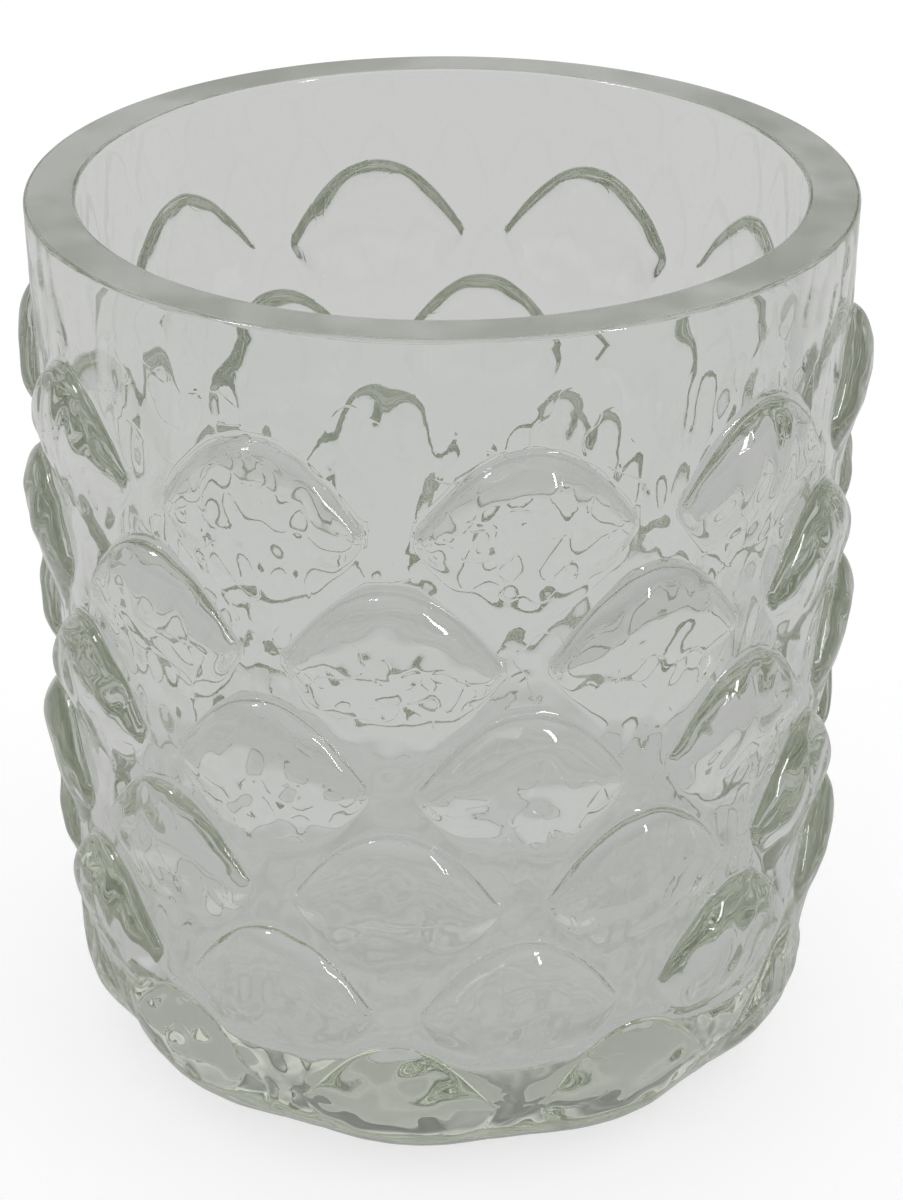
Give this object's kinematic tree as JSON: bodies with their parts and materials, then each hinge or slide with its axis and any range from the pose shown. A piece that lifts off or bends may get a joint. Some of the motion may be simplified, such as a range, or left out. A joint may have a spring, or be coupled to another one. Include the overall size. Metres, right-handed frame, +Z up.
{
  "type": "glass tumbler",
  "caption": "Pressed clear glass tumbler with a thick floor, a flat ground rim and staggered rows of lens-shaped bosses, for cold drinks.",
  "frame": {"origin": "centre of the flat face that the glass stands on", "axes": "+Z up along the axis of the glass, -Y through the middle of a boss of the top row"},
  "size_m": [0.0834, 0.084, 0.09],
  "materials": {
    "clear_glass": "clear pressed glass with a faint grey-green tint, fire-polished outside and ground flat on the rim"
  },
  "bodies": {
    "root": {"glass_body": "clear_glass"}
  },
  "joints": []
}
